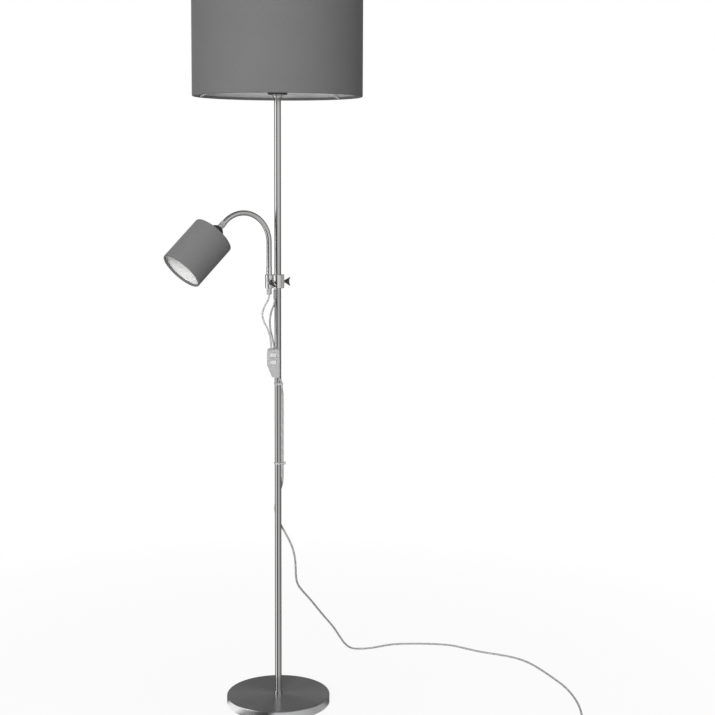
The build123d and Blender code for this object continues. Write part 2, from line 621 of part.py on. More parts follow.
# ---------------------------------------------------------------- reading light
def reading_parts():
    """The reading light's head, built along +Z from the neck's end."""
    web = HEAD_FERRULE_H
    ferrule = tube(0, HEAD_FERRULE_R, -HEAD_FERRULE_LAP, web)
    ferrule = fillet(ferrule.edges().filter_by(GeomType.CIRCLE), HEAD_FERRULE_EDGE_R)
    ferrule -= tube(0, NECK_CREST_R + CLEAR, -HEAD_FERRULE_LAP - 1, CLEAR)
    ferrule += tube(0, NIPPLE_R, web - 1, web + HEAD_STUD_L)
    ferrule -= tube(0, NECK_BORE_R, -HEAD_FERRULE_LAP, web + HEAD_STUD_L + 1)

    cap_low, cap_high = web, web + HEAD_CAP_H

    def dome(radius, foot_r, low, high):
        rim = high - HEAD_CAP_RIM_H
        side, foot = (radius, 0, rim), (foot_r, 0, low)
        outline = Polyline(side, (radius, 0, high), (0, 0, high), (0, 0, low), foot)
        across, up = HEAD_CAP_SHOULDER
        shoulder = (foot_r + (radius - foot_r) * across, 0, low + (rim - low) * up)
        outline += ThreePointArc(foot, shoulder, side)
        return revolve(make_face(outline), Axis.Z)

    cap = dome(HEAD_CAP_R, HEAD_FERRULE_R, cap_low, cap_high)
    wall = HEAD_CAP_WALL
    cap -= dome(HEAD_CAP_R - wall, HEAD_FERRULE_R - 1, cap_low + wall, cap_high + 0.01)
    cap -= tube(0, NIPPLE_R + CLEAR, cap_low - 1, cap_high)

    body_low = cap_high - READ_HOLDER_LAP
    body_high = body_low + READ_HOLDER_H
    body = tube(0, READ_HOLDER_R, body_low, body_high)
    body += tube(0, HEAD_CAP_R - wall - CLEAR, body_low, cap_high)
    shell_low = body_high - READ_LIP - E14_LENGTH
    floor_high = shell_low - READ_TAB_H - CONTACT_ROOM
    floor_low = floor_high - READ_FLOOR
    body -= tube(0, READ_HOLDER_R - READ_HOLDER_WALL, body_low - 1, floor_low)
    body -= tube(0, E14_R + E14_WALL + CLEAR, shell_low, body_high + 1)
    body -= contact_pocket(E14_R, floor_high, shell_low)
    body -= tube(0, READ_RIVET_R + CLEAR, floor_low - 1, floor_high + 1)
    sleeve = tube(E14_R, E14_R + E14_WALL, shell_low, shell_low + E14_LENGTH)
    contact = tube(0, READ_RIVET_R, floor_low - READ_RIVET_PROUD, floor_high + READ_TAB_H / 2)
    contact += tube(0, READ_TAB_R, floor_high, floor_high + READ_TAB_H)

    plate_low = cap_high
    plate_high = plate_low + READ_PLATE_T
    nut = tube(READ_HOLDER_R + CLEAR, READ_NUT_R, plate_high, plate_high + READ_NUT_H)
    nut = fillet(nut.edges().group_by(Axis.Z)[-1].sort_by(SortBy.RADIUS)[-1], NUT_EDGE_R)

    cloth_r = READ_SHADE_R - SHADE_CLOTH
    liner_r = cloth_r - CLEAR
    ring_r = liner_r - SHADE_LINER - CLEAR - READ_WIRE_R
    shade_low, shade_high = READ_SHADE_UP, READ_SHADE_UP + READ_SHADE_H
    ring_z = shade_low + READ_WIRE_R + RING_LIFT
    carrier = tube(READ_HOLDER_R + CLEAR, HEAD_CAP_R, plate_low, plate_high)
    hub_z = (plate_low + plate_high) / 2
    for angle in READ_ARM_ANGLES:
        start = polar(HEAD_CAP_R - READ_ARM_IN, angle, hub_z)
        knee = polar(HEAD_CAP_R + READ_ARM_OUT, angle, hub_z)
        path = FilletPolyline(start, knee, polar(ring_r, angle, ring_z), radius=READ_ARM_BEND)
        arm = sweep(Plane(origin=path @ 0, z_dir=path % 0) * Circle(READ_WIRE_R), path=path)
        arm -= tube(0, HEAD_CAP_R + READ_NUT_ROOM, cap_low, plate_low)
        arm -= tube(0, HEAD_CAP_R + READ_NUT_ROOM, plate_high, body_high)
        carrier += arm
    carrier += wire_ring(ring_r, READ_WIRE_R, ring_z)
    liner = tube(liner_r - SHADE_LINER, liner_r, shade_low + RING_LIFT, shade_high - RING_LIFT)
    head = {
        "head_ferrule": ferrule,
        "head_cap": cap,
        "reading_holder_body": body,
        "reading_holder_sleeve": sleeve,
        "reading_holder_contact": contact,
        "reading_ring_nut": nut,
        "reading_shade_carrier": carrier,
        "reading_shade_fabric": tube(cloth_r, READ_SHADE_R, shade_low, shade_high),
        "reading_shade_liner": liner,
        "reading_bottom_ring": wire_ring(ring_r, READ_WIRE_R, shade_high - READ_WIRE_R - RING_LIFT),
    }
    place = NECK_PLACE * neck_plane(NECK_LENGTH).location
    point = place * Pos(0, 0, body_high)
    print("reading socket mouth", point.position, "axis", point.z_axis.direction)
    return {name: place * shape for name, shape in head.items()}


# ---------------------------------------------------------------- in-line switch
def switch_outline(inset=0.0):
    outline = make_face(
        Polyline(
            (SWITCH_LEFT, SWITCH_TOP), (SWITCH_RIGHT, SWITCH_TOP), (SWITCH_RIGHT, SWITCH_LOW),
            (SWITCH_TAIL_LEFT, SWITCH_LOW), (SWITCH_LEFT, SWITCH_SHOULDER), close=True,
        )
    )
    outline = fillet(outline.vertices(), SWITCH_CORNER)
    return offset(outline, -inset) if inset else outline


def switch_slab(front, back, inset=0.0):
    """The switch's outline, extruded from one distance in front of the pole's axis to another."""
    slab = Plane.XZ * switch_outline(inset)
    return Pos(0, -back, 0) * extrude(slab, front - back)


def along_y(radius, x, z, front, back):
    """A rod along Y between two distances in front of the pole's axis."""
    return Pos(x, -(front + back) / 2, z) * Rot(90, 0, 0) * Cylinder(radius, front - back)


def switch_parts():
    front = SWITCH_BACK + SWITCH_DEPTH
    split = SWITCH_BACK + SWITCH_SPLIT
    wall = SWITCH_WALL
    pivot = front - wall
    back_shell = switch_slab(split, SWITCH_BACK) - switch_slab(split, SWITCH_BACK + wall, wall)
    front_shell = switch_slab(front, split) - switch_slab(pivot, split, wall)
    slot_h = 2 * (ROCKER_R + ROCKER_GAP)
    slot_w = ROCKER_W + 2 * ROCKER_GAP
    parts = {}
    for name, z in zip(("rocker_top", "rocker_reading"), ROCKER_Z):
        for side in (-1, 1):
            x = ROCKER_X + side * (slot_w + CHEEK_T) / 2
            cheek = Box(CHEEK_T, CHEEK_H + CHEEK_ROOT, CHEEK_H)
            front_shell += Pos(x, -pivot + (CHEEK_H - CHEEK_ROOT) / 2, z) * cheek
        front_shell -= Pos(ROCKER_X, -pivot, z) * Box(slot_w, 2 * wall + CHEEK_H, slot_h)
        pin_l = ROCKER_W + 2 * ROCKER_PIN_L
        pivot_place = Pos(ROCKER_X, -pivot, z) * Rot(0, 90, 0)
        front_shell -= pivot_place * Cylinder(ROCKER_PIN_R + CLEAR, pin_l + 2 * CLEAR)
        rocker = Cylinder(ROCKER_R, ROCKER_W) + Cylinder(ROCKER_PIN_R, pin_l)
        rocker = Rot(0, 90, 0) * rocker
        cut = Pos(0, -ROCKER_PROUD - ROCKER_R, 0) * Box(ROCKER_W + 1, 2 * ROCKER_R, 4 * ROCKER_R)
        parts[name] = Pos(ROCKER_X, -pivot, z) * Rot(-ROCKER_TILT, 0, 0) * (rocker - cut)
        print(name, "pivot", (ROCKER_X, -pivot, z))
    screws = []
    for x, z in SWITCH_SCREWS:
        head_low = SWITCH_BACK + SCREW_HEAD_H
        back_shell += along_y(BOSS_R, x, z, split, SWITCH_BACK + wall / 2)
        back_shell -= along_y(SCREW_R + CLEAR, x, z, split + 1, SWITCH_BACK - 1)
        back_shell -= along_y(SCREW_HEAD_R + CLEAR, x, z, head_low, SWITCH_BACK - 1)
        front_shell += along_y(BOSS_R, x, z, pivot + wall / 2, split)
        front_shell -= along_y(SCREW_R + CLEAR, x, z, head_low + SCREW_L, split - 1)
        head = along_y(SCREW_HEAD_R, x, z, head_low, SWITCH_BACK)
        screws.append(head + along_y(SCREW_R, x, z, head_low + SCREW_L - CLEAR, SWITCH_BACK))
    parts["switch_back_shell"] = back_shell
    parts["switch_front_shell"] = front_shell
    parts["switch_screws"] = Compound(children=screws)
    return parts


# ---------------------------------------------------------------- cords
CORD_DEPTH = SWITCH_BACK + SWITCH_DEPTH / 2
READING_CORD = (
    (NECK_X, 0, CLAMP_LOW - RELIEF_GAP - RELIEF_H), (NECK_X, 0, 991), (-31, -5, 973), (-37.3, -11, 954),
    (-32.5, -16, 937), (-21.8, -19.8, 919), (-15.9, -19.8, 897), (-14.5, -CORD_DEPTH, SWITCH_TOP + 9),
    (-14.5, -CORD_DEPTH, SWITCH_TOP),
)
GROMMET_LANE_R = POLE_R + CLEAR + SHORT_CORD_R + GROMMET_WALL / 2
TOP_CORD = (
    polar(GROMMET_LANE_R, OUTLET_ANGLE, GROMMET_LOW), polar(GROMMET_LANE_R, OUTLET_ANGLE, 980),
    (-14.6, -12.2, 962), (-18.3, -13.4, 941), (-17.2, -14.2, 919), (-11.2, -16.6, 897),
    (-7.8, -CORD_DEPTH, SWITCH_TOP + 9), (-7.8, -CORD_DEPTH, SWITCH_TOP),
)
LEAD_FLOOR = (
    (188.5, 382), (216.5, 387.5), (245, 404), (279, 424), (336, 430.5), (395, 429.5), (437.5, 422),
    (474.5, 398), (514, 370.5), (575, 345.5), (614, 321), (643.5, 283.5), (666.5, 236), (689.5, 181),
    (711.5, 125), (726, 60), (733, -11), (COIL_CENTRE[0] + COIL_R, -79),
    (COIL_CENTRE[0] + COIL_R, COIL_CENTRE[1] + 2 * LEAD_R),
)
LEAD = (
    (3.1, -11.8, SWITCH_LOW), (3.1, -11.8, SWITCH_LOW - 5.5), (*LANE_HIGH, TIE_HIGH_Z + 6.2),
    (*LANE_HIGH, TIE_HIGH_Z - 7.3), (*LANE_LOW, 762), (*LANE_LOW, 560), (9.5, 7.2, 541),
    (3.4, 11.4, 523), (-4.6, 11.4, 503), (-8.7, 8.6, 480), (-5, 11.2, 459), (2.6, 11.8, 444),
    (10.2, 10.4, 430), (22.6, 13, 407), (32.7, 20.7, 382), (38.1, 33.3, 354), (39.1, 49.3, 323),
    (38.1, 69.4, 292), (40.9, 87.6, 268.5), (49.4, 110, 247.5), (69.4, 147.5, 211.5),
    (83.3, 179, 182), (100.2, 219.5, 145.5), (121, 262.5, 106), (136, 305, 66.5), (149.5, 343, 30.5),
    (166.3, 371, 7.5), *((x, y, LEAD_Z) for x, y in LEAD_FLOOR),
)


def coil_path():
    """A flat coil of the spare lead: spirals in, climbs a layer in a half turn, spirals out."""
    turn_in, turn_out = COIL_TURNS_IN, COIL_TURNS_OUT
    inner_r = COIL_R - COIL_PITCH * turn_in

    def at(turn):
        if turn <= turn_in:
            radius, z = COIL_R - COIL_PITCH * turn, LEAD_Z
        elif turn <= turn_in + 0.5:
            share = (turn - turn_in) / 0.5
            radius, z = inner_r, LEAD_Z + COIL_STEP * (1 - math.cos(math.pi * share)) / 2
        else:
            radius, z = inner_r + COIL_PITCH * (turn - turn_in - 0.5), LEAD_Z + COIL_STEP
        angle = -2 * math.pi * turn
        x = COIL_CENTRE[0] + radius * math.cos(angle)
        y = COIL_CENTRE[1] + radius * math.sin(angle)
        return Vector(x, y, z)

    def biarc(start, start_dir, end, end_dir):
        """Two arcs, tangent to both given directions and to each other."""
        chord = end - start
        both = start_dir + end_dir
        a = both.dot(both) - 4
        b = -2 * chord.dot(both)
        c = chord.dot(chord)
        reach = c / -b if abs(a) < 1e-6 else (-b - math.sqrt(b * b - 4 * a * c)) / (2 * a)
        middle = (start + start_dir * reach + end - end_dir * reach) * 0.5
        return [TangentArc(start, middle, tangent=start_dir), TangentArc(end, middle, tangent=-end_dir)]

    total = turn_in + 0.5 + turn_out
    quarters = round(total * 4)
    points = [at(total * i / quarters) for i in range(quarters + 1)]
    small = 1e-4
    inward = [(at(total * i / quarters + small) - at(total * i / quarters - small)).normalized()
              for i in range(quarters + 1)]
    inward[0] = Vector(0, -1, 0)
    inward[-1] = Vector(0, -1, 0)
    start = points[0] + Vector(0, 2 * LEAD_R, 0)
    edges = [Line(start, points[0])]
    for i in range(quarters):
        edges += biarc(points[i], inward[i], points[i + 1], inward[i + 1])
    plug_z = PLUG_T / 2 + FLOOR_CLEAR
    tail_end = points[-1] + Vector(0, -COIL_TAIL, plug_z - points[-1].Z)
    edges += biarc(points[-1], inward[-1], tail_end, Vector(0, -1, 0))
    last = tail_end + Vector(0, -2 * LEAD_R, 0)
    edges.append(Line(tail_end, last))
    return Wire(edges), last


def coil_solid():
    path, last = coil_path()
    start = path @ 0
    section = Plane(origin=start, z_dir=path % 0) * Circle(LEAD_R)
    solid = sweep(section, path=path)
    count = 400
    points = [path @ (i / count) for i in range(count + 1)]
    step = path.length / count
    apart = math.ceil(6 * LEAD_R / step)
    gap = min((points[j] - points[i]).length for i in range(count + 1) for j in range(i + apart, count + 1))
    print("lead_coil length", round(path.length, 1), "least gap to itself", round(gap - 2 * LEAD_R, 2))
    print("lead_coil volume ratio", round(solid.volume / (math.pi * LEAD_R**2 * path.length), 4))
    return solid, last


def tie(z, lane, head):
    """A cable tie round the pole and the lead beside it."""
    loops = []
    for grow in (LOOSE, LOOSE + TIE_T):
        pole = CenterArc((0, 0, 0), POLE_R + grow - TIE_SNUG, 0, 360)
        lead = CenterArc((*lane, 0), LEAD_R + grow, 0, 360)
        loops.append(make_face(make_hull([pole, lead])))
    band = Pos(0, 0, z - TIE_W / 2) * extrude(loops[1] - loops[0], TIE_W)
    head_w, head_d, head_h = TIE_HEAD
    if head == "right":
        at_head = (lane[0] + LEAD_R + LOOSE + (TIE_T + head_w) / 2, lane[1], z)
    else:
        at_head = (0, POLE_R + LOOSE + TIE_HEAD_OUT + head_d / 2, z)
    block = Pos(*at_head) * Box(head_w, head_d, head_h)
    return band + block


def plug_parts(entry):
    """A flat two-pin plug that lies on the floor, its cord entry at the given point."""
    x, y, z = entry
    flare = Cone(PLUG_RELIEF_R, PLUG_RELIEF_R + PLUG_RELIEF_FLARE, PLUG_RELIEF_L)
    relief = Pos(x, y - PLUG_RELIEF_L / 2, z) * Rot(90, 0, 0) * flare
    back = y - PLUG_RELIEF_L + 1
    front = back - PLUG_L
    widest = back - PLUG_L * PLUG_BACK_SHARE
    nose = front + PLUG_L * PLUG_FRONT_SHARE
    right = [
        (PLUG_NOSE_W / 4, back), (PLUG_W / 2, widest), (PLUG_W / 2, nose), (PLUG_NOSE_W / 2, front),
    ]
    corners = [(x + dx, at) for dx, at in right] + [(x - dx, at) for dx, at in reversed(right)]
    outline = make_face(Polyline(*corners, close=True))
    outline = fillet(outline.vertices(), PLUG_CORNER_R)
    body = Pos(0, 0, z - PLUG_T / 2) * extrude(outline, PLUG_T)
    levels = body.edges().group_by(Axis.Z)
    body = fillet(levels[0] + levels[-1], PLUG_EDGE_R)
    body += relief
    pins = []
    pin_l = PLUG_PIN_L + PLUG_PIN_ROOT
    for side in (-1, 1):
        middle_y = front + (PLUG_PIN_ROOT - PLUG_PIN_L) / 2
        hole = Pos(x + side * PLUG_PIN_PITCH / 2, middle_y, z) * Rot(90, 0, 0)
        pin = hole * Cylinder(PLUG_PIN_R, pin_l)
        pin = fillet(pin.edges().group_by(Axis.Y)[0], PLUG_PIN_TIP_R)
        body -= hole * Cylinder(PLUG_PIN_R + CLEAR, pin_l + 2 * CLEAR)
        pins.append(pin)
    return {"plug_body": body, "plug_pins": Compound(children=pins)}


def cord_parts():
    coil, last = coil_solid()
    ties = [tie(TIE_HIGH_Z, LANE_HIGH, "back"), tie(TIE_LOW_Z, LANE_LOW, "right")]
    parts = {
        "cord_reading": cord_tube("cord_reading", READING_CORD, SHORT_CORD_R),
        "cord_top": cord_tube("cord_top", TOP_CORD, SHORT_CORD_R),
        "lead": cord_tube("lead", LEAD, LEAD_R),
        "lead_coil": coil,
        "pole_inner_cord": inner_cord(),
        "cable_ties": Compound(children=ties),
    }
    parts.update(plug_parts(tuple(last)))
    return parts


def write_parts():
    groups = (
        base_parts, pole_parts, uplight_parts, shade_parts, clamp_parts,
        neck_parts, reading_parts, switch_parts, cord_parts,
    )
    for along in NECK_JOINTS:
        joint = NECK_PLACE * neck_plane(along).location
        print("neck joint", joint.position, "axis", joint.x_axis.direction)
    for group in groups:
        for name, shape in group().items():
            export_step(shape, "parts/" + name + ".step")


write_parts()
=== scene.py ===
import math

import bpy
import numpy as np
from mathutils import Matrix, Vector


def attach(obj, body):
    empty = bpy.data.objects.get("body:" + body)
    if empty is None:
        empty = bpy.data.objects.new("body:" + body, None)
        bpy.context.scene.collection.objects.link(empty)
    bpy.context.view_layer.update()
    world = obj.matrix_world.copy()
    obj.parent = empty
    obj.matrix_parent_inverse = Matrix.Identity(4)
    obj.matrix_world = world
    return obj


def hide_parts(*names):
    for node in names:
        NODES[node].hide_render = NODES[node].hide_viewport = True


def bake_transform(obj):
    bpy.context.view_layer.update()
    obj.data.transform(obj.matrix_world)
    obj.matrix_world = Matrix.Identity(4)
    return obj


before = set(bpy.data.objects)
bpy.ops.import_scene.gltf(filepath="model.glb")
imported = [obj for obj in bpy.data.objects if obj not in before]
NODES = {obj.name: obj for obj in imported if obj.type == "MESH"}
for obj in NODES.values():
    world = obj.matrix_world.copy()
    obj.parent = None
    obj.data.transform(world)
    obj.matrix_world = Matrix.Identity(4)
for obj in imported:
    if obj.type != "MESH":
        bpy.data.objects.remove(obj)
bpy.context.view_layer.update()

SCENE = bpy.context.scene
MM = 0.001

# ---------------------------------------------------------------- camera
CAMERA_PLACE = (0.27384, -3.37646, 1.30667)
CAMERA_YAW = -0.0249  # radians, positive looks towards +X
CAMERA_PITCH = 0.0992  # radians, positive looks down
CAMERA_ROLL = 0.0041
CAMERA_LENS = 71.881
CAMERA_SHIFT = -0.07


def make_camera():
    yaw_c, yaw_s = math.cos(CAMERA_YAW), math.sin(CAMERA_YAW)
    pitch_c, pitch_s = math.cos(CAMERA_PITCH), math.sin(CAMERA_PITCH)
    roll_c, roll_s = math.cos(CAMERA_ROLL), math.sin(CAMERA_ROLL)
    ahead = Vector((yaw_s * pitch_c, yaw_c * pitch_c, -pitch_s))
    level_up = Vector((yaw_s * pitch_s, yaw_c * pitch_s, pitch_c))
    level_right = Vector((yaw_c, -yaw_s, 0))
    right = level_right * roll_c + level_up * roll_s
    up = level_up * roll_c - level_right * roll_s
    data = bpy.data.cameras.new("camera")
    data.sensor_width = 36
    data.lens = CAMERA_LENS
    data.shift_y = CAMERA_SHIFT
    data.clip_end = 60
    camera = bpy.data.objects.new("camera", data)
    SCENE.collection.objects.link(camera)
    turn = Matrix((right, up, -ahead)).transposed().to_4x4()
    camera.matrix_world = Matrix.Translation(CAMERA_PLACE) @ turn
    SCENE.camera = camera


make_camera()
SCENE.view_settings.view_transform = "Standard"


# ---------------------------------------------------------------- material kit
class Nodes:
    """Short calls for building one material's node tree."""

    def __init__(self, tree):
        self.tree = tree

    def add(self, kind, **inputs):
        node = self.tree.nodes.new("ShaderNode" + kind)
        for name, value in inputs.items():
            self.put(node, name, value)
        return node

    def put(self, node, name, value):
        key = int(name[1:]) if name[0] == "i" and name[1:].isdigit() else name.replace("_", " ")
        socket = node.inputs[key]
        if isinstance(value, bpy.types.NodeSocket):
            self.tree.links.new(value, socket)
        else:
            socket.default_value = value

    def math(self, operation, a, b=0.0, clamp=False):
        node = self.add("Math")
        node.operation = operation
        node.use_clamp = clamp
        self.put(node, "i0", a)
        self.put(node, "i1", b)
        return node.outputs[0]

    def coords(self, kind="Object", scale=(1, 1, 1)):
        source = self.add("TexCoord").outputs[kind]
        return self.add("Mapping", Vector=source, Scale=scale).outputs[0]

    def noise(self, vector, scale, detail=3.0, rough=0.5):
        node = self.add("TexNoise", Vector=vector, Scale=scale, Detail=detail, Roughness=rough)
        return node.outputs["Fac"]

    def ramp(self, value, stops):
        node = self.add("ValToRGB", Fac=value)
        marks = node.color_ramp.elements
        while len(marks) < len(stops):
            marks.new(0.5)
        for mark, (place, tone) in zip(marks, stops):
            mark.position = place
            mark.color = (*tone, 1) if isinstance(tone, tuple) else (tone, tone, tone, 1)
        return node.outputs["Color"]

    def spread(self, value, low, high, start=0.0, end=1.0):
        """The value's run from start to end, mapped to low and high and held there."""
        node = self.add("MapRange", Value=value, From_Min=start, From_Max=end, To_Min=low, To_Max=high)
        return node.outputs[0]

    def tint(self, value, dark, light):
        node = self.add("Mix")
        node.data_type = "RGBA"
        self.put(node, "i0", value)
        self.put(node, "i6", (*dark, 1))
        self.put(node, "i7", (*light, 1))
        return node.outputs[2]

    def bump(self, height, distance, strength=1.0):
        return self.add("Bump", Height=height, Distance=distance, Strength=strength).outputs[0]


def grey(level, warm=0.0):
    return (level * (1 + warm), level, level * (1 - warm))


def material(name, **inputs):
    """A Principled material, its constant sockets set by name."""
    made = bpy.data.materials.new(name)
    made.use_nodes = True
    kit = Nodes(made.node_tree)
    shader = made.node_tree.nodes["Principled BSDF"]
    for key, value in inputs.items():
        kit.put(shader, key, value)
    return made, kit, shader


# ---------------------------------------------------------------- materials
def brushed_tube(name, level, rough):
    """Nickel plate, turned and brushed: fine rings across the length."""
    made, kit, shader = material(name, Metallic=1.0, Anisotropic=0.5, Anisotropic_Rotation=0.25)
    rings = kit.noise(kit.coords(scale=(1, 1, 16)), 60.0, 2.0)
    long = kit.noise(kit.coords(scale=(1, 1, 0.05)), 220.0, 3.0)
    soil = kit.noise(kit.coords(), 9.0, 4.0)
    tone = kit.math("ADD", kit.math("MULTIPLY", rings, 0.35), kit.math("MULTIPLY", soil, 0.65))
    kit.put(shader, "Base Color", kit.tint(tone, grey(level * 0.95, 0.01), grey(level * 1.05, 0.012)))
    mixed = kit.math("ADD", rings, long)
    kit.put(shader, "Roughness", kit.spread(mixed, rough * 0.94, rough * 1.08, 0.6, 1.4))
    kit.put(shader, "Normal", kit.bump(rings, 0.00002, 0.1))
    return made


def spun_disc(name, level, rough):
    """Sheet steel brushed in circles round the pole: the light fans out in sectors."""
    made, kit, shader = material(name, Metallic=1.0, Anisotropic=0.8, Anisotropic_Rotation=0.25)
    tangent = kit.add("Tangent")
    tangent.direction_type = "RADIAL"
    tangent.axis = "Z"
    kit.put(shader, "Tangent", tangent.outputs[0])
    place = kit.add("SeparateXYZ", Vector=kit.coords())
    across = kit.math("POWER", place.outputs[0], 2.0)
    along = kit.math("POWER", place.outputs[1], 2.0)
    radius = kit.math("SQRT", kit.math("ADD", across, along))
    angle = kit.math("ARCTAN2", place.outputs[1], place.outputs[0])
    groove_at = kit.add("CombineXYZ", X=radius, Y=kit.math("MULTIPLY", angle, 0.004), Z=place.outputs[2])
    grooves = kit.noise(groove_at.outputs[0], 900.0, 3.0, 0.6)
    wide = kit.noise(groove_at.outputs[0], 140.0, 2.0)
    tone = kit.math("ADD", kit.math("MULTIPLY", grooves, 0.6), kit.math("MULTIPLY", wide, 0.4))
    kit.put(shader, "Base Color", kit.tint(tone, grey(level * 0.84), grey(level * 1.12)))
    kit.put(shader, "Roughness", kit.spread(grooves, rough * 0.85, rough * 1.2))
    kit.put(shader, "Normal", kit.bump(grooves, 0.00002, 0.25))
    return made


def satin_metal(name, level, rough, warm=0.01, pits=400.0, tones=None, depth=0.00004):
    """Plated or cast metal with a fine satin grain."""
    made, kit, shader = material(name, Metallic=1.0)
    grain = kit.noise(kit.coords(), pits, 4.0, 0.6)
    broad = kit.noise(kit.coords(), pits / 12, 3.0)
    dark, light = tones or (grey(level * 0.9, warm), grey(level * 1.08, warm))
    mixed = kit.math("ADD", kit.math("MULTIPLY", grain, 0.5), kit.math("MULTIPLY", broad, 0.5))
    kit.put(shader, "Base Color", kit.tint(mixed, dark, light))
    kit.put(shader, "Roughness", kit.spread(broad, rough * 0.8, rough * 1.2, 0.3, 0.7))
    kit.put(shader, "Normal", kit.bump(grain, depth, 0.35))
    return made


def moulded(name, color, rough, grain_scale=900.0, grain_depth=0.00005, spec=0.5):
    """Moulded plastic or rubber with a spark-eroded grain."""
    made, kit, shader = material(name, Specular_IOR_Level=spec)
    grain = kit.noise(kit.coords(), grain_scale, 4.0, 0.65)
    cloud = kit.noise(kit.coords(), 45.0, 3.0)
    dark = tuple(c * 0.86 for c in color)
    light = tuple(min(1.0, c * 1.14) for c in color)
    kit.put(shader, "Base Color", kit.tint(cloud, dark, light))
    mixed = kit.math("ADD", grain, cloud)
    kit.put(shader, "Roughness", kit.spread(mixed, rough * 0.8, rough * 1.2, 0.6, 1.4))
    kit.put(shader, "Normal", kit.bump(grain, grain_depth, 0.6))
    return made


def clear_plastic(name, color, rough, see_through, grain_scale=260.0):
    """Milky see-through plastic: part of the light passes, part comes back from inside."""
    made, kit, shader = material(name, Transmission_Weight=see_through, IOR=1.48)
    haze = kit.noise(kit.coords(), grain_scale, 4.0, 0.6)
    flow = kit.noise(kit.coords(scale=(1, 1, 0.3)), 60.0, 3.0)
    tone = kit.math("ADD", kit.math("MULTIPLY", haze, 0.4), kit.math("MULTIPLY", flow, 0.6))
    kit.put(shader, "Base Color", kit.tint(tone, tuple(c * 0.85 for c in color), color))
    kit.put(shader, "Roughness", kit.spread(haze, rough * 0.8, rough * 1.25))
    kit.put(shader, "Normal", kit.bump(haze, 0.00006, 0.4))
    return made


def twin_core_cord(name, sheath, core, pitch, see_through=0.25):
    """Clear sheath over two twisted silvery cores. The UV runs round once, and along in metres."""
    made, kit, shader = material(name, Transmission_Weight=see_through, IOR=1.5)
    uv = kit.add("SeparateXYZ", Vector=kit.add("TexCoord").outputs["UV"])
    turn = kit.math("ADD", uv.outputs[0], kit.math("DIVIDE", uv.outputs[1], pitch))
    wave = kit.math("SINE", kit.math("MULTIPLY", turn, 4 * math.pi))
    wave = kit.spread(wave, 0.0, 1.0, -0.75, 0.75)
    strand_x = kit.math("MULTIPLY", turn, 6.0)
    strand_y = kit.math("MULTIPLY", uv.outputs[1], 60.0)
    strand_at = kit.add("CombineXYZ", X=strand_x, Y=strand_y)
    strands = kit.noise(strand_at.outputs[0], 9.0, 3.0, 0.6)
    shade = kit.math("ADD", kit.math("MULTIPLY", wave, 0.7), kit.math("MULTIPLY", strands, 0.3))
    kit.put(shader, "Base Color", kit.tint(shade, core, sheath))
    kit.put(shader, "Roughness", kit.spread(strands, 0.22, 0.36))
    kit.put(shader, "Normal", kit.bump(wave, 0.00006, 0.2))
    return made


def woven(name, color, thread, lift=0.00012):
    """Plain-weave cloth in metres of UV: threads over and under, slubs and dye cloudiness, and painted
    shade that darkens each thread towards its edges.
    """
    made, kit, shader = material(name, Sheen_Weight=0.12, Sheen_Roughness=0.5, Specular_IOR_Level=0.15)
    uv = kit.add("TexCoord").outputs["UV"]
    wobble = kit.noise(uv, 38.0, 2.0)
    parts = kit.add("SeparateXYZ", Vector=uv)
    shift = kit.math("MULTIPLY", kit.math("SUBTRACT", wobble, 0.5), thread * 1.6)
    weft = kit.math("MULTIPLY", kit.math("ADD", parts.outputs[1], shift), math.pi / thread)
    warp = kit.math("MULTIPLY", kit.math("ADD", parts.outputs[0], shift), math.pi / thread)
    over = kit.math("MULTIPLY", kit.math("SINE", warp), kit.math("SINE", weft))
    across = kit.math("ABSOLUTE", kit.math("COSINE", warp))
    along = kit.math("ABSOLUTE", kit.math("COSINE", weft))
    pick = kit.math("GREATER_THAN", over, 0.0)
    thread_relief_and_shade = kit.math("ADD", kit.math("MULTIPLY", pick, across),
                            kit.math("MULTIPLY", kit.math("SUBTRACT", 1.0, pick), along))
    thread_relief_and_shade = kit.math("SUBTRACT", 1.0, kit.math("MULTIPLY", thread_relief_and_shade, 0.55))
    slub_weft = kit.noise(kit.coords("UV", (60, 1 / thread / 1.5, 1)), 1.0, 3.0, 0.6)
    slub_warp = kit.noise(kit.coords("UV", (1 / thread / 1.5, 60, 1)), 1.0, 3.0, 0.6)
    cloud = kit.noise(kit.coords("UV"), 14.0, 4.0, 0.6)
    slubs = kit.math("ADD", kit.math("MULTIPLY", slub_weft, 0.5), kit.math("MULTIPLY", slub_warp, 0.5))
    tone = kit.math("ADD", kit.math("MULTIPLY", slubs, 0.45), kit.math("MULTIPLY", cloud, 0.2))
    # Painted shade: this term darkens each thread towards its edges, where it dips under its neighbour.
    tone = kit.math("ADD", tone, kit.math("MULTIPLY", thread_relief_and_shade, 0.35))
    dark = tuple(c * 0.66 for c in color)
    light = tuple(c * 1.3 for c in color)
    kit.put(shader, "Base Color", kit.tint(tone, dark, light))
    kit.put(shader, "Roughness", kit.spread(cloud, 0.84, 0.97))
    height = kit.math("ADD", kit.math("MULTIPLY", thread_relief_and_shade, 0.6), kit.math("MULTIPLY", slubs, 0.4))
    kit.put(shader, "Normal", kit.bump(height, lift, 0.7))
    return made


def liner_film(name, color):
    """The white film that backs the cloth, with faint calender marks."""
    made, kit, shader = material(name, Specular_IOR_Level=0.4)
    cloud = kit.noise(kit.coords("UV"), 11.0, 4.0)
    fine = kit.noise(kit.coords("UV", (1, 8, 1)), 420.0, 3.0)
    kit.put(shader, "Base Color", kit.tint(cloud, tuple(c * 0.95 for c in color), color))
    kit.put(shader, "Roughness", kit.spread(fine, 0.5, 0.68))
    kit.put(shader, "Normal", kit.bump(fine, 0.00004, 0.4))
    return made


